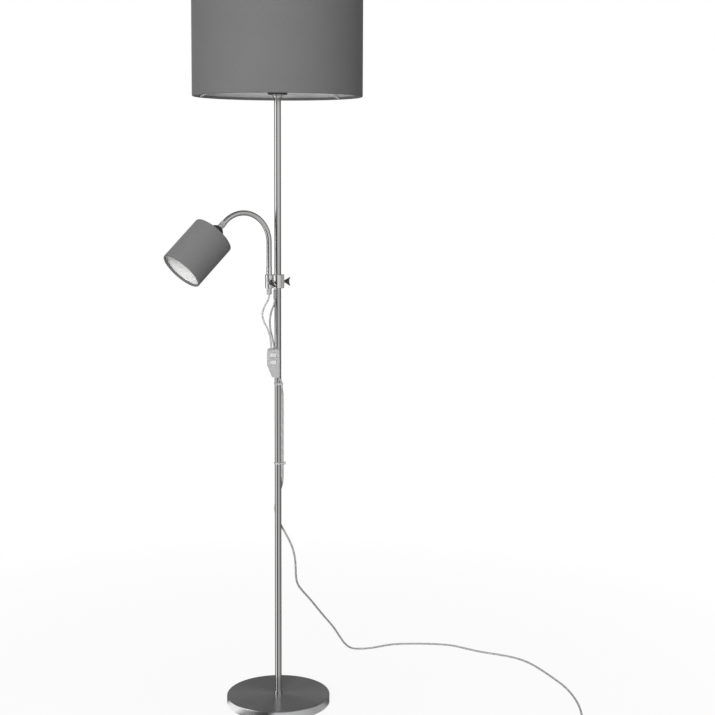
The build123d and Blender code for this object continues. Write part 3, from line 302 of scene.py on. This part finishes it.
CLOTH = woven("shade_cloth", (0.185, 0.185, 0.188), 0.00055)
LINER = liner_film("shade_liner_film", (0.86, 0.86, 0.85))
TUBE = brushed_tube("nickel_brushed", 0.62, 0.12)
DISC = spun_disc("nickel_spun", 0.76, 0.34)
CAST = satin_metal("nickel_satin", 0.92, 0.26)
HOSE = satin_metal("nickel_hose", 0.74, 0.14, pits=700.0, depth=0.00001)
ZINC = satin_metal("zinc_plate", 0.58, 0.34, warm=0.0, pits=300.0)
BRASS = satin_metal("brass_bright", 0.6, 0.26, tones=((0.52, 0.38, 0.16), (0.72, 0.56, 0.28)))
IRON = moulded("cast_iron_raw", (0.05, 0.05, 0.052), 0.7, 180.0, 0.0003)
FOAM = moulded("foam_pad", (0.03, 0.03, 0.031), 0.9, 500.0, 0.0003, 0.2)
BLACK = moulded("black_moulding", (0.036, 0.036, 0.037), 0.36)
GREY_RUBBER = moulded("grey_rubber", (0.3, 0.3, 0.3), 0.5)
NYLON = moulded("nylon_bush", (0.62, 0.61, 0.57), 0.45)
PORCELAIN = moulded("porcelain", (0.78, 0.77, 0.73), 0.18, 200.0, 0.00002)
WHITE_WIRE = moulded("white_enamel", (0.8, 0.8, 0.79), 0.3, 350.0, 0.00006)
ROCKER = moulded("rocker_grey", (0.66, 0.66, 0.66), 0.32)
SWITCH = clear_plastic("switch_milky", (0.72, 0.72, 0.72), 0.3, 0.35)
SLEEVE = clear_plastic("sleeve_clear", (0.8, 0.8, 0.8), 0.2, 0.6)
RELIEF = clear_plastic("relief_milky", (0.7, 0.7, 0.7), 0.32, 0.35)
TIE = clear_plastic("tie_nylon", (0.86, 0.86, 0.86), 0.28, 0.45)
PLUG = clear_plastic("plug_milky", (0.68, 0.68, 0.68), 0.3, 0.3)
READING_FLEX = twin_core_cord("flex_clear", (0.82, 0.82, 0.82), (0.62, 0.62, 0.62), 0.045, 0.3)
TOP_FLEX = twin_core_cord("flex_grey", (0.55, 0.55, 0.55), (0.4, 0.4, 0.4), 0.045)
LEAD_FLEX = twin_core_cord("flex_lead", (0.66, 0.66, 0.66), (0.48, 0.48, 0.48), 0.05)

FINISHES = {
    TUBE: "pole_lower pole_middle pole_upper foot_collar",
    DISC: "base_cover",
    CAST: "pole_top_cup clamp_block neck_pin",
    HOSE: "neck_segment_1 neck_segment_2 neck_segment_3 neck_segment_4",
    ZINC: "base_nut base_stud foot_insert pole_couplers top_nipple pole_lock_screw neck_lock_screw "
          "switch_screws",
    BRASS: "holder_contacts reading_holder_contact plug_pins holder_sleeve reading_holder_sleeve",
    IRON: "base_weight",
    FOAM: "base_pad",
    BLACK: "holder_cap holder_body head_cap reading_holder_body reading_ring_nut shade_ring_nuts "
           "pole_lock_wing neck_lock_wing",
    GREY_RUBBER: "pole_grommet",
    NYLON: "clamp_bush",
    PORCELAIN: "holder_insulator",
    WHITE_WIRE: "shade_spider shade_bottom_ring shade_top_ring reading_shade_carrier reading_bottom_ring",
    CLOTH: "shade_fabric reading_shade_fabric",
    LINER: "shade_liner reading_shade_liner",
    ROCKER: "rocker_top rocker_reading",
    SWITCH: "switch_back_shell switch_front_shell",
    SLEEVE: "head_ferrule",
    RELIEF: "neck_strain_relief",
    TIE: "cable_ties",
    PLUG: "plug_body",
    LEAD_FLEX: "cord_reading cord_top lead lead_coil pole_inner_cord",
}
for finish, names in FINISHES.items():
    for node_name in names.split():
        for slot in NODES[node_name].material_slots:
            slot.material = finish


# ---------------------------------------------------------------- mesh kit
def mesh_piece(name, points, faces, finish, uv=None):
    """A smooth-shaded mesh from numpy points and index quads, with per-corner UVs."""
    data = bpy.data.meshes.new(name)
    data.from_pydata([tuple(p) for p in points], [], [tuple(f) for f in faces])
    if uv is not None:
        layer = data.uv_layers.new(name="metres")
        layer.data.foreach_set("uv", np.array(uv, np.float32).ravel())
    data.polygons.foreach_set("use_smooth", [True] * len(data.polygons))
    data.materials.append(finish)
    data.update()
    piece = bpy.data.objects.new(name, data)
    SCENE.collection.objects.link(piece)
    return piece


def lofted(rings, along):
    """Points, quads and UVs of a tube from equal rings of points. The UV is (share round, metres along)."""
    count, around = len(rings), len(rings[0])
    points = np.concatenate(rings)
    faces, uv = [], []
    for i in range(count - 1):
        for j in range(around):
            k = (j + 1) % around
            faces.append((i * around + j, i * around + k, (i + 1) * around + k, (i + 1) * around + j))
            a, b = j / around, (j + 1) / around
            uv += [(a, along[i]), (b, along[i]), (b, along[i + 1]), (a, along[i + 1])]
    return points, faces, uv


def frames_along(line):
    """Two unit vectors square to a line at each of its points, carried along without twist."""
    ahead = np.gradient(line, axis=0)
    ahead /= np.linalg.norm(ahead, axis=1)[:, None]
    side = np.cross(ahead[0], (0.0, 0.0, 1.0))
    if np.linalg.norm(side) < 1e-3:
        side = np.array((1.0, 0.0, 0.0))
    sides = []
    for direction in ahead:
        side = side - direction * (side @ direction)
        side = side / np.linalg.norm(side)
        sides.append(side)
    sides = np.array(sides)
    return sides, np.cross(ahead, sides)


def length_along(line):
    steps = np.linalg.norm(np.diff(line, axis=0), axis=1)
    return np.concatenate(([0.0], np.cumsum(steps)))


def capped(points, faces, uv, around):
    """Closes both ends of a tube with a fan round a middle point."""
    first, last = points[:around].mean(0), points[-around:].mean(0)
    total = len(points)
    points = np.vstack((points, first, last))
    for j in range(around):
        k = (j + 1) % around
        faces.append((k, j, total))
        faces.append((total - around + j, total - around + k, total + 1))
        uv += [(0.0, 0.0)] * 6
    return points, faces, uv


def tube_piece(name, line, radius, finish, around=14, span=None):
    """A round tube along a line of points, or along a stretch of it."""
    sides, ups = frames_along(line)
    along = length_along(line)
    first, last = span or (0, len(line))
    angles = np.linspace(0, 2 * math.pi, around, endpoint=False)
    rings = [
        line[i] + radius * (np.outer(np.cos(angles), sides[i]) + np.outer(np.sin(angles), ups[i]))
        for i in range(first, last)
    ]
    points, faces, uv = capped(*lofted(rings, along[first:last]), around)
    return mesh_piece(name, points, faces, finish, uv)


def route_line(name, points_mm, resolution=10):
    """The route as one smooth spline, read back as the points that it draws."""
    curve = bpy.data.curves.new(name, "CURVE")
    curve.dimensions = "3D"
    curve.resolution_u = resolution
    spline = curve.splines.new("NURBS")
    spline.points.add(len(points_mm) - 1)
    for slot, place in zip(spline.points, points_mm):
        slot.co = (place[0] * MM, place[1] * MM, place[2] * MM, 1.0)
    spline.order_u = 3
    spline.use_endpoint_u = True
    holder = bpy.data.objects.new(name, curve)
    SCENE.collection.objects.link(holder)
    bpy.context.view_layer.update()
    mesh = bpy.data.meshes.new_from_object(holder)
    line = np.array([v.co for v in mesh.vertices], float)
    bpy.data.objects.remove(holder)
    bpy.data.meshes.remove(mesh)
    return line


# ---------------------------------------------------------------- cords
FLEX_R = 2.2
LEAD_R = 2.5
LEAD_Z = 2.55
READING_SPLIT_Z = 0.926  # READING_SPLIT_Z = 0.926 # where the reading cord is split in two, in its bow below the clamp
READING_ROUTE = (
    (-20.5, 0, 1000.1), (-20.5, 0, 991), (-31, -5, 973), (-37.3, -11, 954), (-32.5, -16, 937),
    (-21.8, -19.8, 919), (-15.9, -19.8, 897), (-14.5, -18.4, 881), (-14.5, -18.4, 872),
)
TOP_ROUTE = (
    (-6.44, -8.55, 990), (-6.44, -8.55, 980), (-14.6, -12.2, 962), (-18.3, -13.4, 941),
    (-17.2, -14.2, 919), (-11.2, -16.6, 897), (-7.8, -18.4, 881), (-7.8, -18.4, 872),
)
COIL_X, COIL_Y = 698.0, -140.0
COIL_R, COIL_PITCH, COIL_STEP = 33.0, 6.4, 5.8
LEAD_AIR = (
    (3.1, -11.8, 805), (3.1, -11.8, 799.5), (9.05, -6.8, 792.5), (9.05, -6.8, 779), (11, 0.4, 762),
    (11, 0.4, 743), (11, 0.4, 580), (11, 0.4, 560), (9.5, 7.2, 541), (3.4, 11.4, 523),
    (-4.6, 11.4, 503), (-8.7, 8.6, 480), (-5, 11.2, 459), (2.6, 11.8, 444), (10.2, 10.4, 430),
    (22.6, 13, 407), (32.7, 20.7, 382), (38.1, 33.3, 354), (39.1, 49.3, 323), (38.1, 69.4, 292),
    (40.9, 87.6, 268.5), (49.4, 110, 247.5), (69.4, 147.5, 211.5), (83.3, 179, 182),
    (100.2, 219.5, 145.5), (121, 262.5, 106), (136, 305, 66.5), (149.5, 343, 30.5), (166.3, 371, 7.5),
)
LEAD_FLOOR = (
    (188.5, 382), (216.5, 387.5), (245, 404), (279, 424), (336, 430.5), (395, 429.5), (437.5, 422),
    (474.5, 398), (514, 370.5), (575, 345.5), (614, 321), (643.5, 283.5), (666.5, 236), (689.5, 181),
    (711.5, 125), (726, 60), (733, -11), (731, -79), (731, -135),
)
TURN_POINTS = 14
PLUG_Z = 6.9


def coil_points():
    """The spare lead's turns: in on the floor, up a layer in half a turn, out on top, then to the plug."""
    points = []
    for i in range(1, 3 * TURN_POINTS + 1):
        turn = i / TURN_POINTS
        inner = COIL_R - COIL_PITCH
        if turn <= 1:
            radius, z = COIL_R - COIL_PITCH * turn, LEAD_Z
        elif turn <= 1.5:
            radius, z = inner, LEAD_Z + COIL_STEP * (1 - math.cos(2 * math.pi * (turn - 1))) / 2
        else:
            radius, z = inner + COIL_PITCH * (turn - 1.5), LEAD_Z + COIL_STEP
        radius /= (1 + math.cos(math.pi / TURN_POINTS)) / 2
        angle = -2 * math.pi * turn
        points.append((COIL_X + radius * math.cos(angle), COIL_Y + radius * math.sin(angle), z))
    end_x = points[-1][0]
    points += [
        (end_x, COIL_Y - 14, LEAD_Z + COIL_STEP),
        (end_x, COIL_Y - 28, PLUG_Z),
        (end_x, COIL_Y - 39, PLUG_Z),
    ]
    return points


def make_cords():
    line = route_line("reading_route", READING_ROUTE, 12)
    cut = int(np.argmin(np.abs(line[:, 2] - READING_SPLIT_Z)))
    upper = tube_piece("reading_cord_upper", line, FLEX_R * MM, READING_FLEX, span=(0, cut + 1))
    lower = tube_piece("reading_cord_lower", line, FLEX_R * MM, READING_FLEX, span=(cut, len(line)))
    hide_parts("cord_reading")
    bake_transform(upper)
    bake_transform(lower)

    line = route_line("top_route", TOP_ROUTE, 12)
    top = tube_piece("top_cord", line, FLEX_R * MM, TOP_FLEX)
    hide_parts("cord_top")
    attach(top, "stand")

    route = [*LEAD_AIR, *((x, y, LEAD_Z) for x, y in LEAD_FLOOR), *coil_points()]
    line = route_line("lead_route", route, 6)
    lead = tube_piece("lead_cord", line, LEAD_R * MM, LEAD_FLEX, around=12)
    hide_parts("lead", "lead_coil")
    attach(lead, "stand")


make_cords()


# ---------------------------------------------------------------- shades
SEAM_LAP = 0.009
SEAM_STEP = 0.0005
HEM_TURN = 0.0024  # how far a hem reaches past its wire
CLOTH_T = 0.0008
LINER_T = 0.0004
FIT = 0.00005
SHADE_R = 0.2
SHADE_LOW = 1.4663
SHADE_HIGH = 1.7113
SHADE_WIRE_R = 0.00175
READ_R = 0.052
READ_START = 0.030  # from the neck's end
READ_END = 0.147
READ_WIRE_R = 0.0011
LINER_INSET = 0.0009  # the film stops short of the rims
CLOTH_WOBBLE = 0.00008

NECK_HEADING = 217.0
NECK_X = -0.0205
NECK_FOOT_Z = 1.0659
NECK_BEND_Z = 1.124
NECK_BEND_R = 0.071
NECK_BEND_ANGLE = 133.5
NECK_END_RUN = 0.0135
NECK_ARC = NECK_BEND_R * math.radians(NECK_BEND_ANGLE)
NECK_LENGTH = NECK_BEND_Z - NECK_FOOT_Z + NECK_ARC + NECK_END_RUN


def round_angles(around, seam_at, lap):
    """Plan angles for a turned piece: even steps, and a close pair at each edge of a lap seam."""
    even = np.linspace(0, 2 * math.pi, around, endpoint=False)
    if not lap:
        return even
    edges = np.array((seam_at - lap / 2, seam_at + lap / 2))
    pairs = np.concatenate((edges - lap / 40, edges + lap / 40))
    keep = [a for a in even if np.min(np.abs(pairs - a)) > lap / 8]
    return np.sort(np.concatenate((keep, pairs)))


def turned(name, profile, finish, around=192, place=None, wobble=0.0, seam_at=math.pi / 2, seam_levels=()):
    """A closed section of (radius, height) turned round Z, its UV in metres."""
    reach = max(r for r, _ in profile)
    lap = SEAM_LAP / reach if seam_levels else 0.0
    angles = round_angles(around, seam_at, lap)
    raised = np.abs(angles - seam_at) < lap / 2
    around = len(angles)
    rings = []
    for index, (radius, height) in enumerate(profile):
        swell = wobble * (np.sin(2 * angles + 0.7) + 0.6 * np.sin(5 * angles + 2.1))
        if index in seam_levels:
            swell = swell + SEAM_STEP * raised
        ring_r = radius + swell
        heights = np.full(around, height)
        rings.append(np.stack([ring_r * np.cos(angles), ring_r * np.sin(angles), heights], 1))
    points = np.concatenate(rings)
    if place is not None:
        points = points @ np.array(place.to_3x3()).T + np.array(place.to_translation())
    count = len(profile)
    steps = [0.0]
    for a, b in zip(profile, [*profile[1:], profile[0]]):
        steps.append(steps[-1] + math.hypot(b[0] - a[0], b[1] - a[1]))
    marks = [*(reach * angles), reach * 2 * math.pi]
    faces, uv = [], []
    for i in range(count):
        n = (i + 1) % count
        for j in range(around):
            k = (j + 1) % around
            faces.append((i * around + j, i * around + k, n * around + k, n * around + j))
            a, b = marks[j], marks[j + 1]
            uv += [(a, steps[i]), (b, steps[i]), (b, steps[i + 1]), (a, steps[i + 1])]
    return mesh_piece(name, points, faces, finish, uv)


def levels(start, end, step):
    count = max(2, round(abs(end - start) / step) + 1)
    return [float(v) for v in np.linspace(start, end, count)]


def wrapped_section(radius, low, high, thick, ring_r, wire_r):
    """The cloth's section: up the wall, and turned in over a wire ring at each end into a hem."""
    wall = radius - thick / 2
    inner = ring_r - wire_r - thick / 2 - 0.0001
    middle, half = (wall + inner) / 2, (wall - inner) / 2
    hem = 2 * wire_r + HEM_TURN
    line = [(inner, low + hem), (inner, low + hem * 0.8), (inner, low + half + 0.0002)]
    for step in range(1, 8):
        angle = math.pi * step / 8
        line.append((middle - half * math.cos(angle), low - FIT + half * (1 - math.sin(angle))))
    line += [(wall, z) for z in levels(low + half + 0.0002, high - half - 0.0002, 0.012)]
    for step in range(1, 8):
        angle = math.pi * step / 8
        line.append((middle + half * math.cos(angle), high + FIT - half * (1 - math.sin(angle))))
    line += [(inner, high - half - 0.0002), (inner, high - hem * 0.8), (inner, high - hem)]
    line = np.array(line)
    ahead = np.gradient(line, axis=0)
    ahead /= np.linalg.norm(ahead, axis=1)[:, None]
    across = np.stack([ahead[:, 1], -ahead[:, 0]], 1) * thick / 2
    outside = line + across
    inside = line - across
    return [tuple(p) for p in outside] + [tuple(p) for p in inside[::-1]], len(line)


def neck_at(along):
    """Point and direction of the gooseneck's middle line, in metres of its length."""
    heading = math.radians(NECK_HEADING)
    rise = NECK_BEND_Z - NECK_FOOT_Z
    turn = min(max(along - rise, 0.0) / NECK_BEND_R, math.radians(NECK_BEND_ANGLE))
    over = max(along - rise - NECK_ARC, 0.0)
    out = NECK_BEND_R * (1 - math.cos(turn)) + math.sin(turn) * over
    up = NECK_FOOT_Z + min(along, rise) + NECK_BEND_R * math.sin(turn) + math.cos(turn) * over
    level = math.sin(turn)
    direction = Vector((level * math.cos(heading), level * math.sin(heading), math.cos(turn)))
    return Vector((NECK_X + out * math.cos(heading), out * math.sin(heading), up)), direction


def head_place():
    """Where the reading light's own frame sits: +Z runs from the neck's end to the shade's mouth."""
    end, ahead = neck_at(NECK_LENGTH)
    heading = math.radians(NECK_HEADING)
    side = Vector((-math.sin(heading), math.cos(heading), 0.0))
    other = ahead.cross(side)
    turn = Matrix((side, other, ahead)).transposed().to_4x4()
    return Matrix.Translation(end) @ turn


def film_section(radius, low, high):
    """The liner's section: a thin sheet against the cloth, between the two hems."""
    outside = [(radius, z) for z in levels(low, high, 0.02)]
    inside = [(radius - LINER_T, z) for z in levels(high, low, 0.02)]
    return outside + inside


def dressed_shade(name, radius, low, high, wire_r, around, place, nodes, body):
    """One shade: its cloth, wrapped over the rings and lapped at the seam, and the white film behind it."""
    liner_r = radius - CLOTH_T - FIT
    ring_r = liner_r - LINER_T - FIT - wire_r
    profile, count = wrapped_section(radius, low, high, CLOTH_T, ring_r, wire_r)
    lapped = [i for i in range(count) if profile[i][0] > radius - 0.0002]
    cloth = turned(name + "_cloth", profile, CLOTH, around, place, CLOTH_WOBBLE, seam_levels=lapped)
    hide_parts(nodes[0])
    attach(cloth, body)
    film = film_section(liner_r, low + LINER_INSET, high - LINER_INSET)
    liner = turned(name + "_liner", film, LINER, around, place)
    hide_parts(nodes[1])
    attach(liner, body)


def make_shades():
    dressed_shade("uplight_shade", SHADE_R, SHADE_LOW, SHADE_HIGH, SHADE_WIRE_R, 240, None,
                  ("shade_fabric", "shade_liner"), "stand")
    dressed_shade("reading_shade", READ_R, READ_START, READ_END, READ_WIRE_R, 144, head_place(),
                  ("reading_shade_fabric", "reading_shade_liner"), "reading_head")


make_shades()


# ---------------------------------------------------------------- gooseneck
RIB_PITCH = 0.003
RIB_VALLEY = 0.006
RIB_CREST = 0.0062
RIB_STEPS = 10
NECK_AROUND = 28


def hose_piece(name, low, high):
    """A stretch of wound hose: one rounded rib climbs round it at each pitch."""
    count = round((high - low) / RIB_PITCH * RIB_STEPS)
    stations = np.linspace(low, high, count + 1)
    heading = math.radians(NECK_HEADING)
    side = np.array((-math.sin(heading), math.cos(heading), 0.0))
    angles = np.linspace(0, 2 * math.pi, NECK_AROUND, endpoint=False)
    rings = []
    for along in stations:
        middle, ahead = neck_at(along)
        other = np.cross(np.array(ahead), side)
        phase = along / RIB_PITCH - angles / (2 * math.pi)
        swell = np.abs(np.cos(math.pi * phase)) ** 0.5
        radius = RIB_VALLEY + (RIB_CREST - RIB_VALLEY) * swell
        spokes = np.outer(np.cos(angles), side) + np.outer(np.sin(angles), other)
        rings.append(np.array(middle) + radius[:, None] * spokes)
    points, faces, uv = capped(*lofted(rings, stations), NECK_AROUND)
    return mesh_piece(name, points, faces, HOSE, uv)


def make_neck():
    quarter = NECK_LENGTH / 4
    stretches = (
        ("neck_hose_1", 0.0, 1.5, "neck_foot", "neck_low", ("neck_segment_1",)),
        ("neck_hose_2", 1.5, 2.5, "neck_low", "neck_high", ("neck_segment_2", "neck_segment_3")),
        ("neck_hose_3", 2.5, 4.0, "neck_high", "reading_head", ("neck_segment_4",)),
    )
    for index, (name, low, high, body, other, replaced) in enumerate(stretches, 1):
        piece = hose_piece(name, low * quarter, high * quarter)
        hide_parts(*replaced)
        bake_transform(piece)


make_neck()


# ---------------------------------------------------------------- stage and light
STUDIO = (
    (0.0, 0.1), (0.25, 0.1), (0.28, 1.0), (0.345, 1.0), (0.38, 0.08), (0.475, 0.04), (0.5, 0.5),
    (0.6, 0.46), (0.65, 0.36), (0.71, 0.4), (0.745, 0.1), (1.0, 0.1),
)
STUDIO_GAIN = 1.8
FLOOR_GAIN = 1.3
PANEL_FADE = 0.25  # the panels' share that is left overhead
PANEL_FADE_Z = (0.3, 0.8)  # the sines of the heights between which they fade
SOFT_FILL = (0.2, 0.45)  # at the horizon and overhead


def studio_tone(kit, x, y):
    """What metal sees at a plan angle about the lamp: bright panels between the studio's dark cards."""
    angle = kit.math("ARCTAN2", x, kit.math("MULTIPLY", y, -1.0))
    return kit.ramp(kit.spread(angle, 0.0, 1.0, -math.pi, math.pi), STUDIO)


def make_floor():
    made = bpy.data.materials.new("stage_floor")
    made.use_nodes = True
    kit = Nodes(made.node_tree)
    made.node_tree.nodes.clear()
    place = kit.coords()
    away = kit.add("VectorMath", i0=place)
    away.operation = "LENGTH"
    seen = kit.add("LightPath")
    direct = kit.math("MAXIMUM", seen.outputs["Is Camera Ray"], seen.outputs["Is Transmission Ray"])
    share = kit.math("MULTIPLY", kit.spread(away.outputs[1], 0.88, 1.0, 0.25, 1.6), direct)
    tone = kit.tint(kit.spread(away.outputs[1], 0.0, 1.0, 0.5, 1.6), grey(0.86), grey(0.36))
    matt = kit.add("BsdfDiffuse", Color=tone)
    white = kit.add("Emission", Color=(1, 1, 1, 1), Strength=1.0)
    parts = kit.add("SeparateXYZ", Vector=place)
    panels = studio_tone(kit, parts.outputs[0], parts.outputs[1])
    cards = kit.add("Emission", Color=panels, Strength=FLOOR_GAIN)
    first = kit.add("MixShader", i0=share, i1=matt.outputs[0], i2=white.outputs[0])
    last = kit.add("MixShader", i0=seen.outputs["Is Glossy Ray"], i1=first.outputs[0], i2=cards.outputs[0])
    kit.add("OutputMaterial", Surface=last.outputs[0])
    data = bpy.data.meshes.new("stage_floor")
    half, low = 20.0, -0.0003
    corners = [(-half, -half, low), (half, -half, low), (half, half, low), (-half, half, low)]
    data.from_pydata(corners, [], [(0, 1, 2, 3)])
    data.materials.append(made)
    floor = bpy.data.objects.new("stage_floor", data)
    SCENE.collection.objects.link(floor)


def make_world():
    """White to the eye and to glass, panels and dark cards to metal, a soft fill to matt surfaces."""
    world = bpy.data.worlds.new("studio")
    SCENE.world = world
    world.use_nodes = True
    kit = Nodes(world.node_tree)
    world.node_tree.nodes.clear()
    seen = kit.add("LightPath")
    ray = kit.add("SeparateXYZ", Vector=kit.add("TexCoord").outputs["Generated"])
    high = kit.spread(ray.outputs[2], STUDIO_GAIN, STUDIO_GAIN * PANEL_FADE, *PANEL_FADE_Z)
    backdrop = kit.add("Background", Color=(1, 1, 1, 1), Strength=1.0)
    cards = kit.add("Background", Color=studio_tone(kit, ray.outputs[0], ray.outputs[1]), Strength=high)
    fill = kit.spread(ray.outputs[2], *SOFT_FILL, 0.0, 1.0)
    soft = kit.add("Background", Color=(1, 1, 1, 1), Strength=fill)
    direct = kit.math("MAXIMUM", seen.outputs["Is Camera Ray"], seen.outputs["Is Transmission Ray"])
    first = kit.add("MixShader", i0=seen.outputs["Is Glossy Ray"], i1=soft.outputs[0], i2=cards.outputs[0])
    last = kit.add("MixShader", i0=direct, i1=first.outputs[0], i2=backdrop.outputs[0])
    kit.add("OutputWorld", Surface=last.outputs[0])


def soft_box(name, place, aim, size, power, shows=False):
    data = bpy.data.lights.new(name, "AREA")
    data.shape = "RECTANGLE"
    data.size, data.size_y = size
    data.energy = power
    light = bpy.data.objects.new(name, data)
    SCENE.collection.objects.link(light)
    light.location = place
    light.rotation_euler = (Vector(aim) - Vector(place)).to_track_quat("-Z", "Y").to_euler()
    light.visible_glossy = shows


make_floor()
make_world()
soft_box("key_left", (-0.9, -3.6, 1.6), (0, 0, 1.1), (1.2, 1.6), 100.0)
soft_box("fill_right", (2.6, -2.2, 1.2), (0, 0, 0.9), (1.4, 2.0), 2.0)
soft_box("top_box", (0.2, 0.3, 4.2), (0, 0, 0.8), (2.4, 2.4), 36.0)
